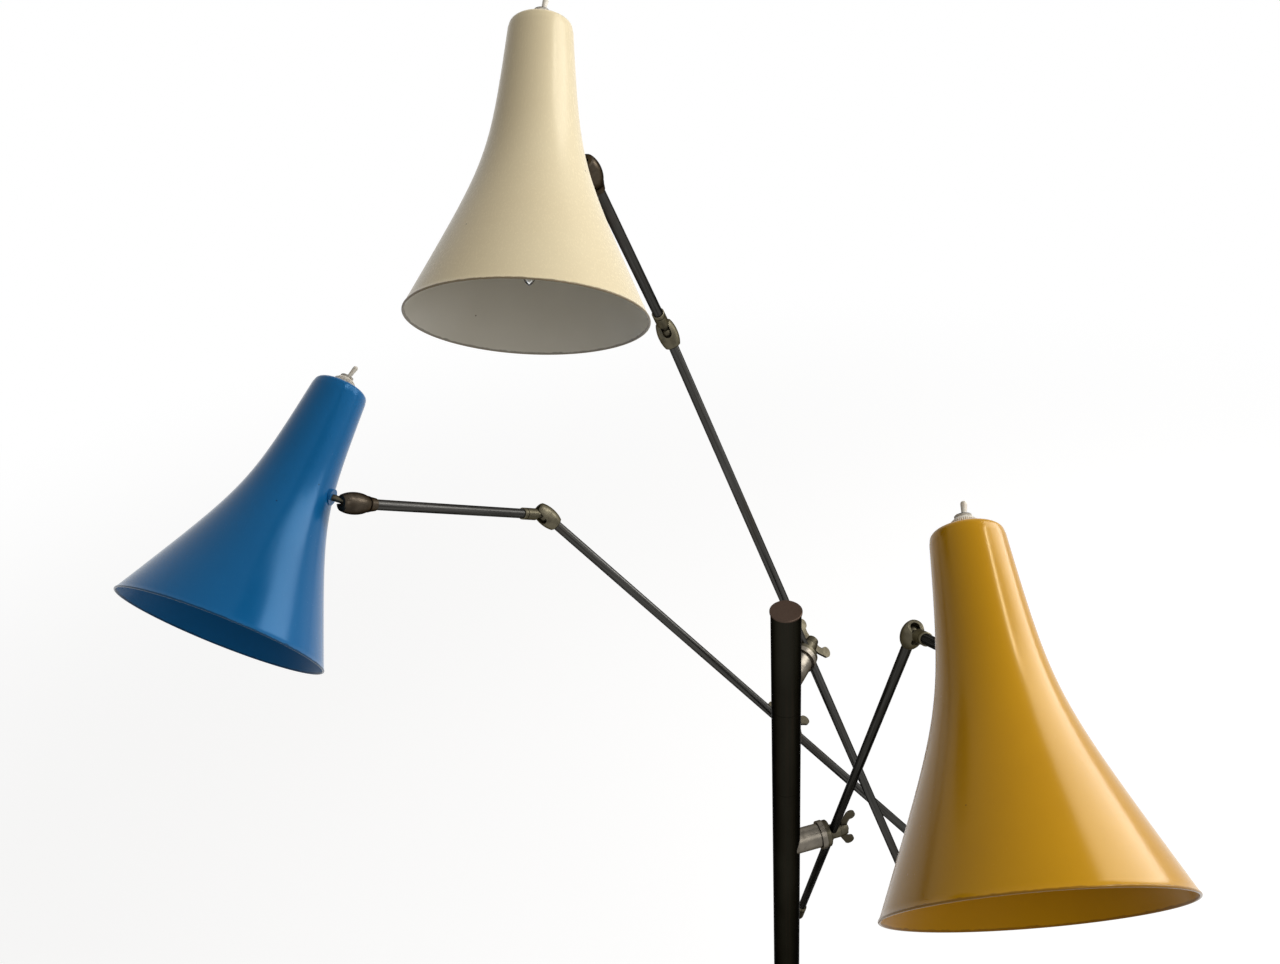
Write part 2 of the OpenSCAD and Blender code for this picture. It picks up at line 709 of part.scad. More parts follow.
toggle(1);  // blue_toggle
sleeve(2);  // yellow_sleeve
stub(2);  // yellow_stub
clamp_eye(2);  // yellow_clamp_eye
wing_nut(2);  // yellow_wing_nut
arm(2);  // yellow_arm
arm_tail(2);  // yellow_arm_tail
elbow_socket(2);  // yellow_elbow_socket
elbow_ball(2);  // yellow_elbow_ball
forearm(2);  // yellow_forearm
shade_socket(2);  // yellow_shade_socket
shade_ball(2);  // yellow_shade_ball
shade_washers(2);  // yellow_shade_washers
shade(2);  // yellow_shade
lampholder(2);  // yellow_lampholder
bulb(2);  // yellow_bulb
switch(2);  // yellow_switch
switch_nut(2);  // yellow_switch_nut
toggle(2);  // yellow_toggle
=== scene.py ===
"""Looks of a three-arm floor lamp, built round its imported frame.

Metres, +Z up, origin on the floor under the pole. The solids carry most shapes. This script
adds the finishes, the spun shades as smooth shells with painted insides, the bulbs with their
wires, the threads on the switches, the lights and the camera.
"""
import json
import math

import bmesh
import bpy
from mathutils import Matrix, Vector


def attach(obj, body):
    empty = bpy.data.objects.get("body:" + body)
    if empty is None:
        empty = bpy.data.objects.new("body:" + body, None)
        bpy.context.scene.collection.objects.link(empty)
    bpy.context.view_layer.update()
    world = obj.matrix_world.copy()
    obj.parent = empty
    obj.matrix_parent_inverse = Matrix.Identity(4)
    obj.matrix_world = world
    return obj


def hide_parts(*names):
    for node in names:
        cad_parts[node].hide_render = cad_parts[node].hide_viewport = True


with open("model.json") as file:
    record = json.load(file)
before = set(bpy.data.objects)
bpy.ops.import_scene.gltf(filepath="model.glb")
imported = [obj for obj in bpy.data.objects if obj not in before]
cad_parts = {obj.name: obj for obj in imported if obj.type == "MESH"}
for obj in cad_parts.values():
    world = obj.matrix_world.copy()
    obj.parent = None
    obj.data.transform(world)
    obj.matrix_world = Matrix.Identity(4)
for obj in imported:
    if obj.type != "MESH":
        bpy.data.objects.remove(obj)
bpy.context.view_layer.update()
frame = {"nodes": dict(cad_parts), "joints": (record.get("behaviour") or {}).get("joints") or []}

MM = 0.001
ARMS = ("cream", "blue", "yellow")

# Sizes repeated from the solids
SHADE_LEN = 246 * MM
SHADE_TOP_R = 25.6 * MM
NECK_SLOPE = 0.08
FLARE_SLOPE = 0.375
FLARE_START = 119.5 * MM
FLARE_BLEND = 22.5 * MM
SHADE_WALL = 1.2 * MM
SHOULDER_R = 5 * MM
BEAD_R = 0.9 * MM
BUSH_R = 6 * MM
BUSH_H = 12 * MM
NUT_TOP = 9.5 * MM
PIVOT_Z = 6 * MM
BULB_TOP = 112 * MM
BULB_LEN = 108 * MM
BULB_R = 17.5 * MM
BULB_CAP_R = 7 * MM
BULB_CAP_LEN = 22 * MM
GLASS_WALL = 1 * MM
POLE_TOP = 1.1

# Turned shell: strips along the wall, sides, strips in a rounded corner and in the rim's bead
SHADE_STEPS = 110
SHADE_SIDES = 192
CORNER_STEPS = 8
BEAD_STEPS = 14
BEAD_START_DEG = 40
BEAD_SWEEP_DEG = 200
BEAD_OUT = 0.6 * MM
BEAD_DROP = 0.4 * MM
OUTSIDE_STOP = 1.5 * MM
INSIDE_STOP = 2.5 * MM

# Bulb: strips and sides of its glass, cap and stem, and the wires in it
GLASS_STEPS = 40
GLASS_SIDES = 64
CAP_SIDES = 48
CAP_RINGS = 60
CAP_RINGS_PER_TURN = 12
CAP_GROOVE = 0.45 * MM
STEM_SIDES = 24
STEM_LEN = 34 * MM
WIRE_FOOT = 1.6 * MM
WIRE_SPREAD = 5 * MM
SUPPORT_R = 0.25 * MM
FILAMENT_R = 0.12 * MM
FILAMENT_STEPS = 60
FILAMENT_HALF_WAVES = 40
FILAMENT_WAVE = 1.2 * MM
FILAMENT_SAG = 9 * MM

# Thread on the switch's bush
THREAD_PITCH = 0.8 * MM
THREAD_R = 0.28 * MM
THREAD_START = 0.35 * MM
THREAD_STEPS = 24

# Floor, world and lamps
FLOOR_HALF = 14.0
FLOOR_PALE = (0.8, 0.79, 0.77)
SHADOW_GREY = (0.45, 0.45, 0.45)
FLOOR_GLOW = 0.72
FADE_FROM = 1.2
FADE_TO = 3.2
WHITE = (1, 1, 1)
AMBIENT_COLOUR = (1.0, 0.95, 0.89, 1)
AMBIENT = 0.2
LAMP_AIM = (-0.1, -0.15, 1.35)
LAMPS = {  # name: (place, width, height, power)
    "window": ((2.38, 0.9, 2.5), 1.05, 2.6, 54),
    "skylight_strip": ((1.71, -0.3, 3.48), 1.25, 0.06, 22),
    "sky_fill": ((1.3, -1.9, 3.0), 1.8, 1.4, 17),
}

# Camera: offset from the pole's top, downward pitch, roll, and focal length and optical
# centre in photo pixels; the photograph is cropped off centre, so the lens is shifted
PHOTO_W = 1280
CAMERA_OFFSET = Vector((-0.1076, -0.9458, 0.7982))
CAMERA_PITCH = math.radians(31.889)
CAMERA_ROLL = math.radians(-3.555)
FOCAL_PX = 1201.1
PHOTO_CENTRE = (640.0, 482.0)
OPTICAL_CENTRE = (669.8, 442.8)
SENSOR = 36.0
CLIP_NEAR = 0.01
CLIP_FAR = 60


# ---------------------------------------------------------------- node helpers
class Nodes:
    """A material's node tree with short calls: each returns an output socket."""

    def __init__(self, name):
        self.mat = bpy.data.materials.new(name)
        self.mat.use_nodes = True
        self.tree = self.mat.node_tree
        self.tree.nodes.clear()
        self.out = self.tree.nodes.new("ShaderNodeOutputMaterial")
        self.coord = self.tree.nodes.new("ShaderNodeTexCoord").outputs["Object"]

    def put(self, socket, value):
        if isinstance(value, bpy.types.NodeSocket):
            self.tree.links.new(value, socket)
        elif isinstance(value, (tuple, list)) and len(value) == 3 and socket.type == "RGBA":
            socket.default_value = (*value, 1.0)
        else:
            socket.default_value = value

    def node(self, kind, inputs=None, **props):
        n = self.tree.nodes.new(kind)
        for k, v in props.items():
            setattr(n, k, v)
        for k, v in (inputs or {}).items():
            self.put(n.inputs[k], v)
        return n

    def mapping(self, scale=(1, 1, 1), rotation=(0, 0, 0), vector=None):
        n = self.node("ShaderNodeMapping", {"Vector": vector or self.coord})
        n.inputs["Scale"].default_value = scale
        n.inputs["Rotation"].default_value = rotation
        return n.outputs["Vector"]

    def noise(self, scale, detail=4.0, rough=0.55, vector=None, distortion=0.0):
        n = self.node("ShaderNodeTexNoise", {"Vector": vector or self.coord, "Scale": scale,
            "Detail": detail, "Roughness": rough, "Distortion": distortion})
        return n.outputs["Fac"]

    def voronoi(self, scale, vector=None):
        n = self.node("ShaderNodeTexVoronoi", {"Vector": vector or self.coord, "Scale": scale})
        return n.outputs["Distance"], n.outputs["Color"]

    def remap(self, value, lo, hi, to_lo=0.0, to_hi=1.0, smooth=False):
        n = self.node("ShaderNodeMapRange", {"Value": value, "From Min": lo, "From Max": hi,
            "To Min": to_lo, "To Max": to_hi})
        if smooth:
            n.interpolation_type = "SMOOTHSTEP"
        return n.outputs["Result"]

    def math(self, op, a, b=0.0):
        return self.node("ShaderNodeMath", {0: a, 1: b}, operation=op).outputs[0]

    def mix(self, factor, a, b):
        n = self.node("ShaderNodeMix", data_type="RGBA")
        self.put(n.inputs[0], factor)
        self.put(n.inputs[6], a)
        self.put(n.inputs[7], b)
        return n.outputs[2]

    def split(self, vector=None):
        n = self.node("ShaderNodeSeparateXYZ", {"Vector": vector or self.coord})
        return n.outputs["X"], n.outputs["Y"], n.outputs["Z"]

    def bump(self, height, strength, distance, normal=None):
        n = self.node("ShaderNodeBump", {"Height": height, "Strength": strength,
            "Distance": distance})
        if normal is not None:
            self.put(n.inputs["Normal"], normal)
        return n.outputs["Normal"]

    def principled(self, **inputs):
        n = self.node("ShaderNodeBsdfPrincipled", {k.replace("_", " "): v
            for k, v in inputs.items()})
        self.tree.links.new(n.outputs["BSDF"], self.out.inputs["Surface"])
        return self.mat


# ---------------------------------------------------------------- finishes
DARK_EDGE = (0.25, 0.25, 0.25, 1.0)


def spun_paint(name, colour, deep, chip, roughness, gloss, tint):
    """Sprayed enamel on a spun shell: slow colour drift, ring marks, specks and a darker rim edge.
    """
    m = Nodes(name)
    _, _, z = m.split()
    drift = m.remap(m.noise(9.0, 3.0), 0.35, 0.65)
    base = m.mix(m.math("MULTIPLY", drift, 0.35), colour, deep)
    film = m.remap(m.noise(60.0, 6.0, 0.7), 0.45, 0.7, 0.0, 0.12)
    base = m.mix(film, base, deep)
    distance, cell = m.voronoi(60.0)
    red, _, _ = m.split(cell)
    chosen = m.remap(red, 0.8, 0.81)
    dot = m.remap(distance, 0.03, 0.05, 1.0, 0.0)
    speck = m.math("MULTIPLY", chosen, dot)
    base = m.mix(speck, base, chip)
    # Darker towards the chip colour over the last 1.6 mm of the rim's edge
    rim_noise = m.math("MULTIPLY", m.noise(140.0, 3.0), 2.2 * MM)
    rim = m.remap(m.math("ADD", z, rim_noise), -SHADE_LEN + 0.9 * MM, -SHADE_LEN + 1.6 * MM,
        0.75, 0.0)
    base = m.mix(rim, base, chip)
    rings = m.noise(1.0, 5.0, 0.75, m.mapping((14, 14, 2600)))
    waves = m.noise(16.0, 1.0, 0.4, m.mapping((1, 1, 0.3)))
    scratch = m.noise(1.0, 3.0, 0.6, m.mapping((900, 900, 60), (0.35, 0.2, 0)))
    rough = m.math("ADD", m.remap(rings, 0.3, 0.7, -0.015, 0.02),
        m.remap(scratch, 0.55, 0.75, roughness, roughness + 0.1))
    height = m.math("ADD", m.math("MULTIPLY", rings, 0.003), waves)
    normal = m.bump(height, 0.3, 0.8 * MM)
    normal = m.bump(m.noise(420.0, 2.0), 0.05, 0.15 * MM, normal)
    return m.principled(Base_Color=base, Roughness=rough, Specular_IOR_Level=gloss,
        Specular_Tint=(*tint, 1.0), Normal=normal)


def drawn_tube(name, direction, dark, light, rust):
    """Blackened steel tube: fine marks along its length, cloudy oxide and rubbed patches."""
    m = Nodes(name)
    turn = Vector(direction).rotation_difference(Vector((0, 0, 1))).to_euler()
    local = m.mapping((1, 1, 1), turn)
    streak = m.noise(1.0, 5.0, 0.65, m.mapping((700, 700, 9), (0, 0, 0), local))
    cloud = m.noise(26.0, 4.0, 0.6, m.mapping((1, 1, 0.4), (0, 0, 0), local))
    base = m.mix(m.remap(streak, 0.35, 0.7), dark, light)
    base = m.mix(m.remap(cloud, 0.55, 0.72, 0.0, 0.6), base, rust)
    rough = m.math("ADD", m.remap(streak, 0.3, 0.7, 0.26, 0.42),
        m.remap(cloud, 0.4, 0.7, -0.04, 0.1))
    normal = m.bump(streak, 0.25, 0.12 * MM)
    return m.principled(Base_Color=base, Metallic=1.0, Roughness=rough, Normal=normal,
        Specular_Tint=DARK_EDGE)


def patina(name, bright, mid, dark, roughness=0.36):
    """Turned brass gone olive: rubbed high spots, dark stains and fine tool marks."""
    m = Nodes(name)
    stain = m.noise(75.0, 5.0, 0.6, distortion=0.4)
    cloud = m.noise(38.0, 3.0, 0.55)
    grain = m.noise(900.0, 2.0, 0.5)
    base = m.mix(m.remap(cloud, 0.35, 0.66), mid, bright)
    base = m.mix(m.remap(stain, 0.5, 0.74, 0.0, 0.6), base, dark)
    rough = m.math("ADD", m.remap(stain, 0.4, 0.7, roughness, roughness + 0.14),
        m.remap(grain, 0.3, 0.7, -0.03, 0.03))
    height = m.math("ADD", m.math("MULTIPLY", grain, 0.3), stain)
    normal = m.bump(height, 0.15, 0.12 * MM)
    return m.principled(Base_Color=base, Metallic=1.0, Roughness=rough, Normal=normal,
        Specular_Tint=DARK_EDGE)


def dark_bronze(name, dark, sheen, brown, grain_scale, grain):
    """Bronzed pole and base: near black with an olive sheen, handling marks and grain."""
    m = Nodes(name)
    cloud = m.noise(11.0, 4.0, 0.6, m.mapping((1, 1, 0.3)))
    streak = m.noise(1.0, 4.0, 0.6, m.mapping((420, 420, 5)))
    fine = m.noise(grain_scale, 4.0, 0.6)
    base = m.mix(m.remap(cloud, 0.35, 0.65), dark, sheen)
    base = m.mix(m.remap(streak, 0.5, 0.75, 0.0, 0.45), base, brown)
    rough = m.math("ADD", m.remap(fine, 0.3, 0.7, 0.3, 0.42),
        m.remap(cloud, 0.4, 0.65, 0.0, 0.08))
    normal = m.bump(fine, grain, 0.2 * MM)
    return m.principled(Base_Color=base, Metallic=1.0, Roughness=rough, Normal=normal,
        Specular_Tint=DARK_EDGE)


def moulded(name, colour, grime, roughness=0.34, grain=0.12):
    """Moulded plastic with a soft orange-peel skin and grime in patches."""
    m = Nodes(name)
    patch = m.noise(150.0, 4.0, 0.6)
    peel = m.noise(1300.0, 2.0, 0.5)
    base = m.mix(m.remap(patch, 0.48, 0.72, 0.0, 0.6), colour, grime)
    rough = m.remap(patch, 0.35, 0.7, roughness, roughness + 0.16)
    normal = m.bump(peel, grain, 0.08 * MM)
    return m.principled(Base_Color=base, Roughness=rough, IOR=1.48, Normal=normal)


def felt(name, colour, fluff):
    """Pressed felt with short fibres."""
    m = Nodes(name)
    fibre = m.noise(1800.0, 4.0, 0.7)
    base = m.mix(m.remap(fibre, 0.35, 0.7), colour, fluff)
    return m.principled(Base_Color=base, Roughness=0.95, Normal=m.bump(fibre, 0.8, 0.4 * MM))


def clear_glass(name):
    """Thin blown glass with faint waviness."""
    m = Nodes(name)
    wave = m.noise(70.0, 2.0, 0.5)
    return m.principled(Base_Color=(0.97, 0.985, 0.98), Roughness=0.02, IOR=1.46,
        Transmission_Weight=1.0, Normal=m.bump(wave, 0.08, 0.3 * MM))


def wire_metal(name, colour, roughness):
    """Bright wire and plated caps with a slight tarnish."""
    m = Nodes(name)
    dull = m.noise(300.0, 3.0, 0.6)
    base = m.mix(m.remap(dull, 0.45, 0.7, 0.0, 0.5), colour, tuple(c * 0.45 for c in colour))
    return m.principled(Base_Color=base, Metallic=1.0,
        Roughness=m.remap(dull, 0.3, 0.7, roughness, roughness + 0.15))


# ---------------------------------------------------------------- frame helpers
JOINTS = {j["name"]: j for j in frame["joints"]}


def joint_axis(name):
    return Vector(JOINTS[name]["axis"]).normalized()


def shade_matrix(arm):
    """Frame of a shade: origin at its top's centre, +Z out of the top, +X to the ball joint."""
    ball = Vector(JOINTS[arm + "_shade_turn"]["pos_m"])
    pivot = Vector(JOINTS[arm + "_switch_toggle"]["pos_m"])
    y = joint_axis(arm + "_switch_toggle")
    stem = joint_axis(arm + "_shade_turn")
    if stem.dot(pivot - ball) < 0:
        stem = -stem
    x = -stem
    z = x.cross(y)
    turn = Matrix((x, y, z)).transposed().to_4x4()
    return Matrix.Translation(pivot - z * PIVOT_Z) @ turn


def add_piece(name, mesh, matrix, body, materials):
    """A new mesh piece in its place, riding on a body."""
    obj = bpy.data.objects.new(name, mesh)
    bpy.context.scene.collection.objects.link(obj)
    for mat in materials:
        mesh.materials.append(mat)
    mesh.shade_smooth()
    obj.matrix_world = matrix
    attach(obj, body)
    return obj


def revolve(name, rings, sides, bands=None, closed=False):
    """Mesh of revolution about Z. rings: (radius, z) pairs; bands: a material index for each
    ring-to-ring strip. A radius of 0 closes to one point."""
    bm = bmesh.new()
    loops = []
    for r, z in rings:
        if r < 1e-9:
            loops.append([bm.verts.new((0, 0, z))])
            continue
        loops.append([bm.verts.new((r * math.cos(a), r * math.sin(a), z))
            for a in (2 * math.pi * k / sides for k in range(sides))])
    pairs = list(zip(loops, loops[1:]))
    if closed:
        pairs.append((loops[-1], loops[0]))
    for i, (a, b) in enumerate(pairs):
        for k in range(sides):
            n = (k + 1) % sides
            if len(a) == 1 and len(b) == 1:
                continue
            if len(a) == 1:
                corners = (a[0], b[n], b[k])
            elif len(b) == 1:
                corners = (a[k], a[n], b[0])
            else:
                corners = (a[k], a[n], b[n], b[k])
            face = bm.faces.new(corners)
            face.material_index = bands[i] if bands else 0
    bmesh.ops.recalc_face_normals(bm, faces=bm.faces)
    mesh = bpy.data.meshes.new(name)
    bm.to_mesh(mesh)
    bm.free()
    return mesh


# ---------------------------------------------------------------- shades
def shade_radius(u):
    """Outer radius of the shade at a distance u below its top."""
    start = math.log(1 + math.exp(-FLARE_START / FLARE_BLEND))
    flare = math.log(1 + math.exp((u - FLARE_START) / FLARE_BLEND)) - start
    return SHADE_TOP_R + NECK_SLOPE * u + FLARE_SLOPE * FLARE_BLEND * flare


def shade_rings():
    """(radius, z) of the shell's closed outline and a material index for each strip."""
    start = SHOULDER_R + 2 * MM
    rim_r = shade_radius(SHADE_LEN)
    inner_shoulder = SHOULDER_R - SHADE_WALL
    corner = SHADE_TOP_R - SHOULDER_R
    outer = [(BUSH_R, 0.0), (corner * 0.6, 0.0)]
    for k in range(CORNER_STEPS + 1):
        a = math.radians(90 - 90 * k / CORNER_STEPS)
        outer.append((corner + SHOULDER_R * math.cos(a), SHOULDER_R * (math.sin(a) - 1)))
    for k in range(SHADE_STEPS + 1):
        u = start + (SHADE_LEN - OUTSIDE_STOP - start) * k / SHADE_STEPS
        outer.append((shade_radius(u), -u))
    bead = []
    for k in range(BEAD_STEPS + 1):
        a = math.radians(BEAD_START_DEG - BEAD_SWEEP_DEG * k / BEAD_STEPS)
        bead.append((rim_r - BEAD_R + BEAD_OUT + BEAD_R * math.cos(a),
            -SHADE_LEN - BEAD_DROP + BEAD_R * math.sin(a)))
    inner = []
    for k in range(SHADE_STEPS + 1):
        u = start + (SHADE_LEN - INSIDE_STOP - start) * (SHADE_STEPS - k) / SHADE_STEPS
        inner.append((shade_radius(u) - SHADE_WALL, -u))
    for k in range(CORNER_STEPS + 1):
        a = math.radians(90 * k / CORNER_STEPS)
        inner.append((corner + inner_shoulder * math.cos(a),
            inner_shoulder * math.sin(a) - SHOULDER_R))
    inner.append((BUSH_R, -SHADE_WALL))
    rings = outer + bead + inner
    bands = [0] * (len(outer) + len(bead) - 3) + [1] * (len(inner) + 3)
    return rings, bands


def make_shade(arm, outside, inside):
    """The spun shell with its bead, in place of the faceted solid."""
    rings, bands = shade_rings()
    mesh = revolve(arm + "_spun_shade", rings, SHADE_SIDES, bands, closed=True)
    obj = add_piece(arm + "_spun_shade", mesh, shade_matrix(arm), arm + "_head",
        [outside, inside])
    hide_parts(arm + "_shade")


# ---------------------------------------------------------------- bulbs
def candle_radius(t):
    """Radius of the glass at a share t of its length from the cap to the tip."""
    return BULB_R * (0.42 + 0.58 * math.sin(math.pi * t ** 0.72)) * math.sqrt(max(0, 1 - t ** 6))


def tube_along(name, points, radius, sides=10):
    """A round wire through points."""
    curve = bpy.data.curves.new(name, "CURVE")
    curve.dimensions = "3D"
    curve.bevel_depth = radius
    curve.bevel_resolution = sides // 4
    curve.use_fill_caps = True
    spline = curve.splines.new("POLY")
    spline.points.add(len(points) - 1)
    for p, co in zip(spline.points, points):
        p.co = (*co, 1.0)
    temp = bpy.data.objects.new(name, curve)
    bpy.context.scene.collection.objects.link(temp)
    bpy.context.view_layer.update()
    evaluated = temp.evaluated_get(bpy.context.evaluated_depsgraph_get())
    mesh = bpy.data.meshes.new_from_object(evaluated)
    bpy.data.objects.remove(temp)
    bpy.data.curves.remove(curve)
    mesh.name = name
    return mesh


def join_meshes(name, meshes):
    bm = bmesh.new()
    for mesh in meshes:
        bm.from_mesh(mesh)
    joined = bpy.data.meshes.new(name)
    bm.to_mesh(joined)
    bm.free()
    return joined


def make_bulb_glass(arm, place, glass):
    """The thin candle-shaped envelope."""
    outer = [(candle_radius(k / GLASS_STEPS), -BULB_LEN * k / GLASS_STEPS)
        for k in range(GLASS_STEPS + 1)]
    inner = [(max(0.0, candle_radius(k / GLASS_STEPS) - GLASS_WALL),
        -(BULB_LEN - 2 * GLASS_WALL) * k / GLASS_STEPS) for k in range(GLASS_STEPS, -1, -1)]
    shell = revolve(arm + "_bulb_glass", outer + inner, GLASS_SIDES, closed=True)
    obj = add_piece(arm + "_bulb_glass", shell, place, arm + "_head", [glass])
    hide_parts(arm + "_bulb")


def make_bulb_cap(arm, place, metal):
    """The grooved screw cap in the lampholder."""
    thread = []
    for k in range(CAP_RINGS):
        z = BULB_CAP_LEN - 3 * MM - (BULB_CAP_LEN - 5 * MM) * k / (CAP_RINGS - 1)
        wave = 1 - math.cos(2 * math.pi * k / CAP_RINGS_PER_TURN)
        thread.append((BULB_CAP_R - CAP_GROOVE * wave / 2, z))
    crown = [(0.0, BULB_CAP_LEN), (3 * MM, BULB_CAP_LEN),
        (BULB_CAP_R - 1 * MM, BULB_CAP_LEN - 2 * MM)]
    skirt = [(BULB_CAP_R, 0.2 * MM), (0.0, 0.2 * MM)]
    cap = revolve(arm + "_bulb_cap", crown + thread + skirt, CAP_SIDES)
    add_piece(arm + "_bulb_cap", cap, place, arm + "_head", [metal])


def make_bulb_wires(arm, place, metal):
    """Two supports and the waved, sagging filament between their ends."""
    wires = []
    for side in (-1, 1):
        wires.append(tube_along("support", [(side * WIRE_FOOT, 0, -1 * MM),
            (side * WIRE_FOOT, 0, -STEM_LEN * 0.8),
            (side * WIRE_SPREAD, 0, -STEM_LEN * 1.5)], SUPPORT_R))
    loop = []
    for k in range(FILAMENT_STEPS + 1):
        t = k / FILAMENT_STEPS
        sag = math.sin(math.pi * t)
        loop.append(((2 * t - 1) * WIRE_SPREAD,
            FILAMENT_WAVE * math.sin(FILAMENT_HALF_WAVES * math.pi * t),
            -STEM_LEN * 1.5 - FILAMENT_SAG * sag))
    wires.append(tube_along("filament", loop, FILAMENT_R, 6))
    mesh = join_meshes(arm + "_bulb_wires", wires)
    add_piece(arm + "_bulb_wires", mesh, place, arm + "_head", [metal])


def make_bulb_stem(arm, place, glass):
    """The glass stem that carries the wires."""
    mount = revolve(arm + "_bulb_stem", [(0.0, -0.2 * MM), (4.2 * MM, -0.2 * MM),
        (2.6 * MM, -6 * MM), (2.2 * MM, -STEM_LEN * 0.7), (1.6 * MM, -STEM_LEN * 0.8),
        (0.0, -STEM_LEN * 0.82)], STEM_SIDES)
    add_piece(arm + "_bulb_stem", mount, place, arm + "_head", [glass])


def make_bulb(arm, glass, cap_metal, wire):
    """The lamp in a shade, in four pieces."""
    place = shade_matrix(arm) @ Matrix.Translation((0, 0, -BULB_TOP))
    make_bulb_glass(arm, place, glass)
    make_bulb_cap(arm, place, cap_metal)
    make_bulb_wires(arm, place, wire)
    make_bulb_stem(arm, place, glass)


def make_bush_thread(arm, metal):
    """Thread ridges on the stretch of bush above the nut."""
    turns = (BUSH_H - NUT_TOP) / THREAD_PITCH - 0.6
    points = []
    for k in range(int(turns * THREAD_STEPS) + 1):
        a = 2 * math.pi * k / THREAD_STEPS
        points.append((BUSH_R * math.cos(a), BUSH_R * math.sin(a),
            NUT_TOP + THREAD_START + THREAD_PITCH * k / THREAD_STEPS))
    mesh = tube_along(arm + "_bush_thread", points, THREAD_R, 8)
    add_piece(arm + "_bush_thread", mesh, shade_matrix(arm), arm + "_head", [metal])


# ---------------------------------------------------------------- finishes on the solids
def dress(node, material, bevel=0.0):
    """Gives a CAD solid its finish and, where a bevel width is given, soft edges."""
    obj = frame["nodes"][node]
    obj.data.materials.clear()
    obj.data.materials.append(material)
    if bevel:
        mod = obj.modifiers.new("soft_edges", "BEVEL")
        mod.width = bevel
        mod.segments = 2
        mod.limit_method = "ANGLE"
        mod.angle_limit = math.radians(40)


CREAM = (0.80, 0.69, 0.455)
CREAM_DEEP = (0.72, 0.595, 0.37)
BLUE = (0.008, 0.14, 0.37)
BLUE_DEEP = (0.003, 0.105, 0.285)
YELLOW = (0.58, 0.285, 0.001)
YELLOW_DEEP = (0.48, 0.225, 0.001)
PRIMER = (0.09, 0.055, 0.03)
BLUE_EDGE = (0.004, 0.03, 0.07)
YELLOW_EDGE = (0.22, 0.095, 0.003)

CREAM_SHEEN = (1.0, 0.9, 0.7)
BLUE_SHEEN = (0.25, 0.6, 1.0)
YELLOW_SHEEN = (1.0, 0.82, 0.45)
PLAIN_SHEEN = (1.0, 1.0, 1.0)

INSIDE = (0.74, 0.71, 0.62)
INSIDE_DEEP = (0.64, 0.61, 0.52)
INSIDE_CHIP = (0.2, 0.17, 0.13)

# Metals and plastics: the tones that each finish mixes, in the order that it takes them
BRASS_TONES = ((0.15, 0.133, 0.09), (0.095, 0.084, 0.057), (0.042, 0.036, 0.025))
EYE_TONES = ((0.095, 0.084, 0.058), (0.055, 0.048, 0.034), (0.026, 0.022, 0.016))
STUB_TONES = ((0.20, 0.178, 0.145), (0.12, 0.107, 0.088), (0.028, 0.022, 0.017))
DARK_BRASS_TONES = ((0.08, 0.064, 0.047), (0.042, 0.034, 0.025), (0.015, 0.012, 0.009))
POLE_TONES = ((0.010, 0.009, 0.007), (0.021, 0.020, 0.015), (0.026, 0.018, 0.013))
IRON_TONES = ((0.018, 0.015, 0.012), (0.034, 0.031, 0.024), (0.04, 0.028, 0.02))
CAP_TONES = ((0.062, 0.041, 0.03), (0.075, 0.052, 0.04), (0.05, 0.034, 0.026))
CORE_TONES = ((0.2, 0.2, 0.2), (0.35, 0.35, 0.34), (0.12, 0.1, 0.08))
TUBE_TONES = ((0.032, 0.031, 0.028), (0.085, 0.083, 0.078), (0.045, 0.036, 0.028))
IVORY_TONES = ((0.74, 0.69, 0.59), (0.42, 0.31, 0.21))
BLACK_TONES = ((0.016, 0.016, 0.017), (0.035, 0.033, 0.03))
FELT_TONES = ((0.012, 0.012, 0.013), (0.035, 0.035, 0.037))
CAP_METAL = (0.72, 0.6, 0.36)
WIRE_METAL = (0.55, 0.54, 0.52)

paints = {
    "cream": spun_paint("enamel_cream", CREAM, CREAM_DEEP, PRIMER, 0.26, 0.3, CREAM_SHEEN),
    "blue": spun_paint("enamel_blue", BLUE, BLUE_DEEP, BLUE_EDGE, 0.2, 0.32,
        BLUE_SHEEN),
    "yellow": spun_paint("enamel_yellow", YELLOW, YELLOW_DEEP, YELLOW_EDGE, 0.19, 0.33,
        YELLOW_SHEEN),
}
insides = {
    "cream": spun_paint("enamel_inside_cream", INSIDE, INSIDE_DEEP, INSIDE_CHIP, 0.33, 0.4,
        PLAIN_SHEEN),
    "blue": spun_paint("enamel_inside_blue", BLUE, BLUE_DEEP, BLUE_EDGE, 0.36, 0.2,
        BLUE_SHEEN),
    "yellow": spun_paint("enamel_inside_yellow", YELLOW, YELLOW_DEEP, YELLOW_EDGE, 0.36, 0.2,
        YELLOW_SHEEN),
}
brass = patina("patinated_brass", *BRASS_TONES)
eye_brass = patina("eye_brass", *EYE_TONES)
stub_bronze = patina("stub_bronze", *STUB_TONES, roughness=0.3)
dark_brass = patina("dark_brass", *DARK_BRASS_TONES, roughness=0.32)
pole = dark_bronze("pole_bronze", *POLE_TONES, grain_scale=700.0, grain=0.1)
base_iron = dark_bronze("base_iron", *IRON_TONES, grain_scale=260.0, grain=0.55)
cap_brown = dark_bronze("cap_brown", *CAP_TONES, grain_scale=900.0, grain=0.12)
core_steel = drawn_tube("core_steel", (0, 0, 1), *CORE_TONES)
ivory = moulded("ivory_plastic", *IVORY_TONES)
black_plastic = moulded("black_plastic", *BLACK_TONES, roughness=0.38)
pad_felt = felt("pad_felt", *FELT_TONES)
glass = clear_glass("bulb_glass")
plated = wire_metal("bulb_cap_metal", CAP_METAL, 0.25)
tungsten = wire_metal("bulb_wire_metal", WIRE_METAL, 0.3)

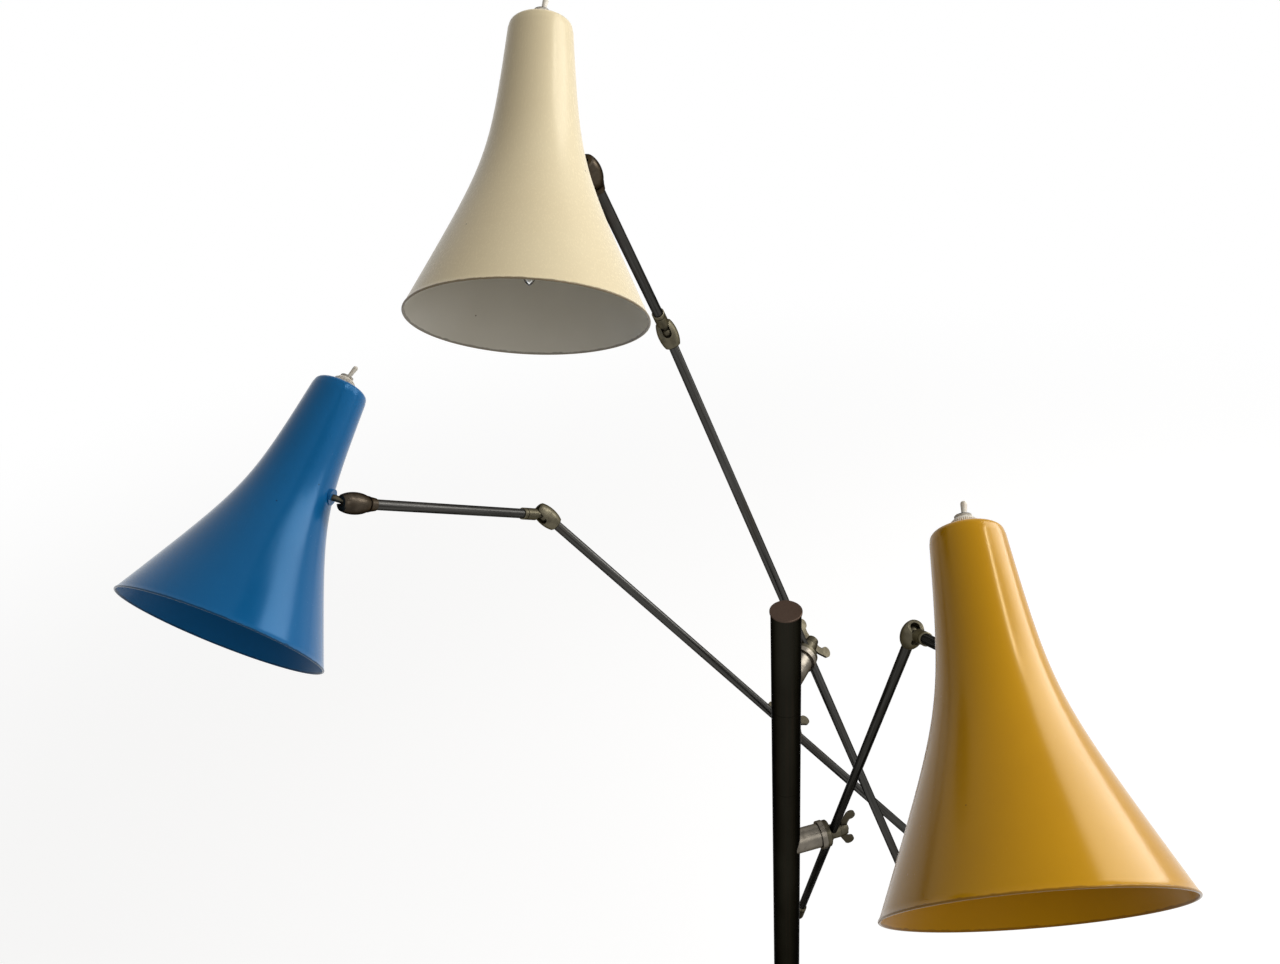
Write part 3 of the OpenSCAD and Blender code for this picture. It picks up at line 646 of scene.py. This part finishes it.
dress("base_casting", base_iron)
dress("base_pad", pad_felt)
dress("column", pole)
dress("core_tube", core_steel)
dress("pole_cap", cap_brown, 0.3 * MM)
dress("cable_gland", brass)

for arm in ARMS:
    arm_steel = drawn_tube(arm + "_arm_steel", joint_axis(arm + "_reach"), *TUBE_TONES)
    fore_steel = drawn_tube(arm + "_forearm_steel", joint_axis(arm + "_forearm_turn"),
        *TUBE_TONES)
    finishes = {"sleeve": pole, "stub": stub_bronze, "clamp_eye": eye_brass, "wing_nut": eye_brass,
        "arm": arm_steel, "arm_tail": brass, "elbow_socket": brass, "elbow_ball": brass,
        "forearm": fore_steel, "shade_socket": dark_brass, "shade_ball": brass,
        "shade_washers": paints[arm], "lampholder": black_plastic, "switch": black_plastic,
        "switch_nut": ivory, "toggle": ivory}
    for part, finish in finishes.items():
        dress(arm + "_" + part, finish)
    make_shade(arm, paints[arm], insides[arm])
    make_bulb(arm, glass, plated, tungsten)
    make_bush_thread(arm, ivory)


# ---------------------------------------------------------------- stage, light and camera
def seen_factor(tree):
    """1 for camera, glossy and transmission rays, else 0, in a material's or a world's tree."""
    path = tree.nodes.new("ShaderNodeLightPath").outputs
    seen = path["Is Camera Ray"]
    for other in ("Is Glossy Ray", "Is Transmission Ray"):
        either = tree.nodes.new("ShaderNodeMath")
        either.operation = "MAXIMUM"
        tree.links.new(seen, either.inputs[0])
        tree.links.new(path[other], either.inputs[1])
        seen = either.outputs[0]
    return seen


def make_floor():
    """Pale floor that keeps the shadow and fades to white away from the lamp."""
    half = FLOOR_HALF
    mesh = bpy.data.meshes.new("floor")
    mesh.from_pydata([(-half, -half, 0), (half, -half, 0), (half, half, 0), (-half, half, 0)],
        [], [(0, 1, 2, 3)])
    floor = bpy.data.objects.new("floor", mesh)
    bpy.context.scene.collection.objects.link(floor)
    m = Nodes("floor_pale")
    pale = m.node("ShaderNodeBsdfDiffuse", {"Color": FLOOR_PALE}).outputs[0]
    shadow = m.node("ShaderNodeBsdfDiffuse", {"Color": SHADOW_GREY}).outputs[0]
    glow = m.node("ShaderNodeEmission", {"Color": WHITE, "Strength": FLOOR_GLOW}).outputs[0]
    white = m.node("ShaderNodeEmission", {"Color": WHITE, "Strength": 1.0}).outputs[0]
    both = m.node("ShaderNodeAddShader")
    m.put(both.inputs[0], shadow)
    m.put(both.inputs[1], glow)
    x, y, _ = m.split()
    away = m.math("SQRT", m.math("ADD", m.math("MULTIPLY", x, x), m.math("MULTIPLY", y, y)))
    fade = m.node("ShaderNodeMixShader", {0: m.remap(away, FADE_FROM, FADE_TO, smooth=True)})
    m.put(fade.inputs[1], both.outputs[0])
    m.put(fade.inputs[2], white)
    mix = m.node("ShaderNodeMixShader", {0: seen_factor(m.tree)})
    m.put(mix.inputs[1], pale)
    m.put(mix.inputs[2], fade.outputs[0])
    m.tree.links.new(mix.outputs[0], m.out.inputs["Surface"])
    mesh.materials.append(m.mat)


def make_world():
    """White for the rays that see it, and a weak warm fill for the rest."""
    world = bpy.data.worlds.new("studio")
    bpy.context.scene.world = world
    world.use_nodes = True
    tree = world.node_tree
    tree.nodes.clear()
    out = tree.nodes.new("ShaderNodeOutputWorld")
    ambient = tree.nodes.new("ShaderNodeBackground")
    ambient.inputs["Color"].default_value = AMBIENT_COLOUR
    ambient.inputs["Strength"].default_value = AMBIENT
    white = tree.nodes.new("ShaderNodeBackground")
    white.inputs["Color"].default_value = (*WHITE, 1)
    white.inputs["Strength"].default_value = 1.0
    mix = tree.nodes.new("ShaderNodeMixShader")
    tree.links.new(seen_factor(tree), mix.inputs[0])
    tree.links.new(ambient.outputs[0], mix.inputs[1])
    tree.links.new(white.outputs[0], mix.inputs[2])
    tree.links.new(mix.outputs[0], out.inputs["Surface"])


def area_light(name, place, target, width, height, power):
    """A rectangular lamp that faces the target and isn't seen itself."""
    data = bpy.data.lights.new(name, "AREA")
    data.shape = "RECTANGLE"
    data.size = width
    data.size_y = height
    data.energy = power
    light = bpy.data.objects.new(name, data)
    bpy.context.scene.collection.objects.link(light)
    light.location = place
    light.rotation_mode = "QUATERNION"
    light.rotation_quaternion = (Vector(target) - Vector(place)).to_track_quat("-Z", "Y")
    light.visible_camera = False


def make_lights():
    for name, (place, width, height, power) in LAMPS.items():
        area_light(name, place, LAMP_AIM, width, height, power)


def make_camera():
    """The photograph's camera, as fitted."""
    data = bpy.data.cameras.new("photo_camera")
    data.sensor_fit = "HORIZONTAL"
    data.sensor_width = SENSOR
    data.lens = FOCAL_PX * SENSOR / PHOTO_W
    data.shift_x = (PHOTO_CENTRE[0] - OPTICAL_CENTRE[0]) / PHOTO_W
    data.shift_y = (OPTICAL_CENTRE[1] - PHOTO_CENTRE[1]) / PHOTO_W
    data.clip_start = CLIP_NEAR
    data.clip_end = CLIP_FAR
    cam = bpy.data.objects.new("photo_camera", data)
    bpy.context.scene.collection.objects.link(cam)
    forward = Vector((0, math.cos(CAMERA_PITCH), -math.sin(CAMERA_PITCH)))
    level = Vector((1, 0, 0))
    up = Vector((0, math.sin(CAMERA_PITCH), math.cos(CAMERA_PITCH)))
    right = math.cos(CAMERA_ROLL) * level + math.sin(CAMERA_ROLL) * up
    top = -math.sin(CAMERA_ROLL) * level + math.cos(CAMERA_ROLL) * up
    turn = Matrix((right, top, -forward)).transposed().to_4x4()
    cam.matrix_world = Matrix.Translation(Vector((0, 0, POLE_TOP)) + CAMERA_OFFSET) @ turn
    bpy.context.scene.camera = cam


make_floor()
make_world()
make_lights()
make_camera()
bpy.context.scene.view_settings.view_transform = "Standard"
